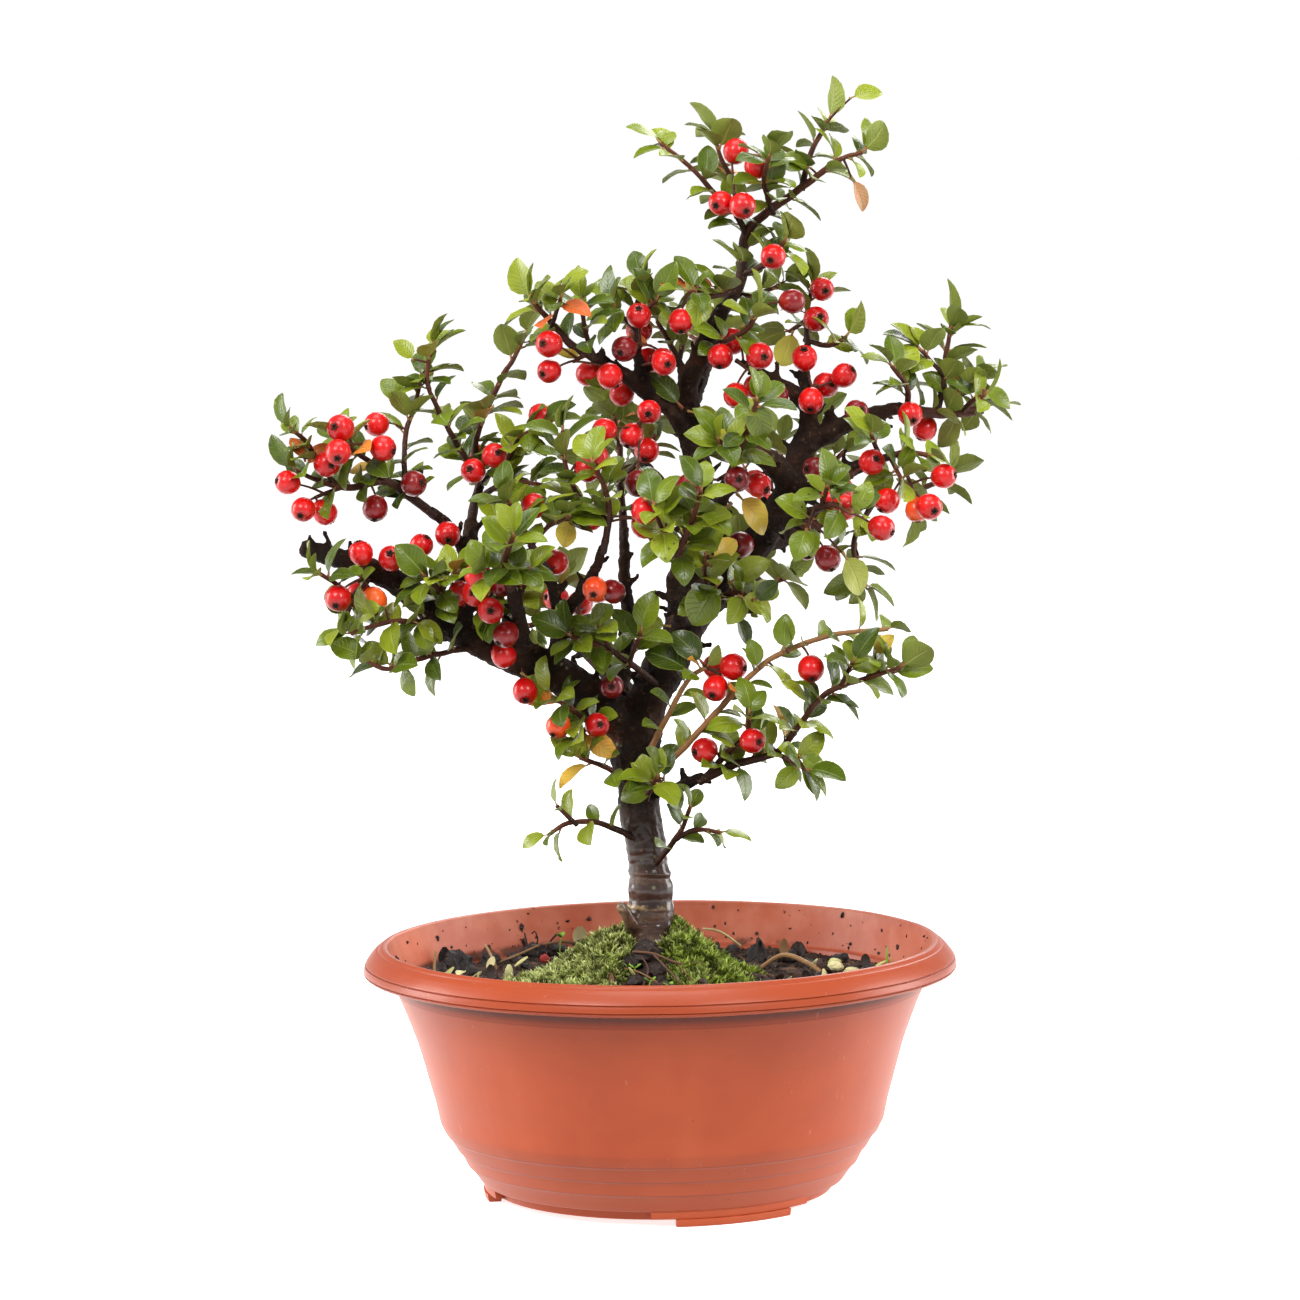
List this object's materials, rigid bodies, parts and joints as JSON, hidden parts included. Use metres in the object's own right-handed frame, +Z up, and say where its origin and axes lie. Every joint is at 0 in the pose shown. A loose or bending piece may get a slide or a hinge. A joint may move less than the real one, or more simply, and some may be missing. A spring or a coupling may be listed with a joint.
{
  "type": "cotoneaster bonsai",
  "caption": "Small berried cotoneaster trained as a bonsai, rooted in mossy soil in a round footed plastic bowl.",
  "frame": {"origin": "on the bowl's axis, at the height of the bottoms of its feet", "axes": "+Z up along the bowl's axis, +X to the right and -Y towards the viewer of the pictured side"},
  "size_m": [0.2488, 0.2, 0.3738],
  "materials": {
    "bowl_plastic": "satin terracotta-coloured moulded plastic, glossier on the rim",
    "soil": "damp dark crumbly potting soil",
    "moss": "short tufted moss, matt",
    "bark": "rough dark brown bark with pale lenticels",
    "foliage": "leathery glossy green leaves on thin red-brown twigs",
    "berry_skin": "smooth glossy red skin"
  },
  "bodies": {
    "root": {"pot": "bowl_plastic", "soil": "soil", "moss": "moss", "trunk_and_boughs": "bark", "leaves_left_bough_end": "foliage", "leaves_left_bough_under": "foliage", "leaves_left_long_twig": "foliage", "leaves_far_left": "foliage", "leaves_left_tall": "foliage", "leaves_bough_cluster": "foliage", "leaves_bough_inner": "foliage", "leaves_middle_arm_end": "foliage", "leaves_middle_fork_end": "foliage", "leaves_upright_end": "foliage", "leaves_fork_left": "foliage", "leaves_trunk_left_twig": "foliage", "leaves_lowest_left_twig": "foliage", "leaves_leader_left": "foliage", "leaves_front_low_end": "foliage", "leaves_front_middle_end": "foliage", "leaves_limb_front": "foliage", "leaves_upper_left_end": "foliage", "leaves_upper_stub_end": "foliage", "leaves_y_twig_end": "foliage", "leaves_leader_front": "foliage", "leaves_crown_top": "foliage", "leaves_right_upright_end": "foliage", "leaves_right_arm_end": "foliage", "leaves_right_middle_end": "foliage", "leaves_right_low_end": "foliage", "leaves_tan_twig": "foliage", "leaves_lower_right": "foliage", "leaves_trunk_front": "foliage", "leaves_thin_twig": "foliage", "leaves_low_right_twig": "foliage", "leaves_back_upper_end": "foliage", "leaves_back_right_end": "foliage", "leaves_back_left_end": "foliage", "leaves_back_low_end": "foliage", "leaves_back_top_end": "foliage", "leaves_front_left_end": "foliage", "leaves_front_right_end": "foliage", "berries_far_left": "berry_skin", "berries_far_left_upper": "berry_skin", "berries_left_bough_end": "berry_skin", "berries_left_tall": "berry_skin", "berries_bough": "berry_skin", "berries_upper_left": "berry_skin", "berries_upper_stub": "berry_skin", "berries_middle": "berry_skin", "berries_top": "berry_skin", "berries_leader": "berry_skin", "berries_right_upper": "berry_skin", "berries_centre_right": "berry_skin", "berries_right_middle": "berry_skin", "berries_right_end": "berry_skin", "berries_thin_twig": "berry_skin", "berries_low_right": "berry_skin", "berries_back_left": "berry_skin", "berries_back_right": "berry_skin"}
  },
  "joints": []
}
